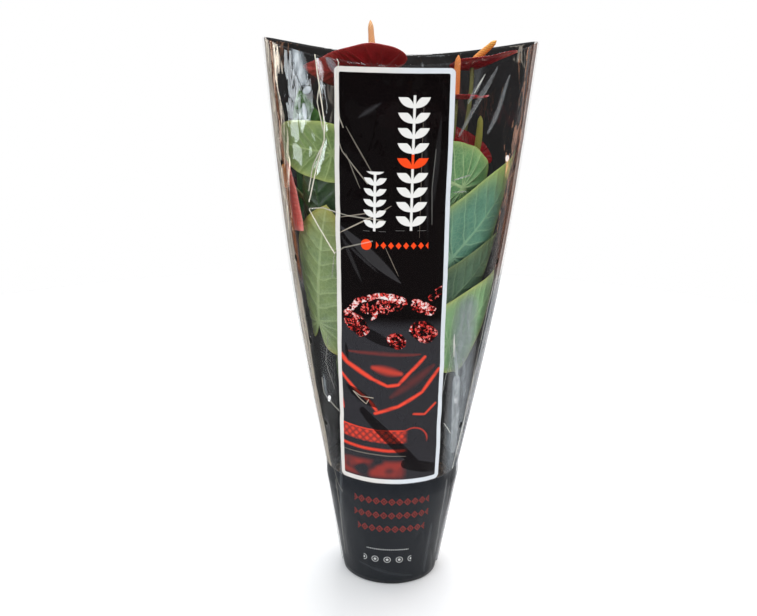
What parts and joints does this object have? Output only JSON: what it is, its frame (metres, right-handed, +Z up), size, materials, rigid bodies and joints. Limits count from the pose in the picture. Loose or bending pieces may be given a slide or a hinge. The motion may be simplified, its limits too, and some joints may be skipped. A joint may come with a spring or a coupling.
{
  "type": "potted anthurium in a sleeve",
  "caption": "Flowering anthurium with heart-shaped leaves and red spathes in a nursery pot, inside a flared clear film sleeve sealed along both sides.",
  "frame": {"origin": "on the ground, on the pot's axis, below the middle of its foot", "axes": "+Z up along the pot's axis, which is the longest extent; the sleeve's printed front faces -Y; the side seams lie on +X and -X"},
  "size_m": [0.2288, 0.2016, 0.4949],
  "materials": {
    "pot_plastic": "black polypropylene, faint satin",
    "growing_medium": "damp peat and fibre, crumbly",
    "crown": "fibrous green-brown stem",
    "leaf": "pale satin underside, dark glossy face, raised veins",
    "stalk": "smooth green, satin",
    "spathe": "waxy deep red, glossy",
    "spadix": "fine bumpy orange to green",
    "film_front": "clear glossy film with a dark printed panel and base",
    "film_back": "glossy film printed dark, clear along the seams"
  },
  "bodies": {
    "root": {"growing_medium": "growing_medium", "leaf_01": "leaf", "leaf_02": "leaf", "leaf_03": "leaf", "leaf_04": "leaf", "leaf_05": "leaf", "leaf_06": "leaf", "leaf_07": "leaf", "leaf_08": "leaf", "leaf_09": "leaf", "leaf_10": "leaf", "leaf_11": "leaf", "leaf_12": "leaf", "nursery_pot": "pot_plastic", "peduncle_1": "stalk", "peduncle_2": "stalk", "peduncle_3": "stalk", "peduncle_4": "stalk", "peduncle_5": "stalk", "peduncle_6": "stalk", "petiole_01": "stalk", "petiole_02": "stalk", "petiole_03": "stalk", "petiole_04": "stalk", "petiole_05": "stalk", "petiole_06": "stalk", "petiole_07": "stalk", "petiole_08": "stalk", "petiole_09": "stalk", "petiole_10": "stalk", "petiole_11": "stalk", "petiole_12": "stalk", "plant_crown": "crown", "sleeve_back_sheet": "film_back", "sleeve_front_sheet": "film_front", "spadix_1": "spadix", "spadix_2": "spadix", "spadix_3": "spadix", "spadix_4": "spadix", "spadix_5": "spadix", "spadix_6": "spadix", "spathe_1": "spathe", "spathe_2": "spathe", "spathe_3": "spathe", "spathe_4": "spathe", "spathe_5": "spathe", "spathe_6": "spathe"}
  },
  "joints": []
}
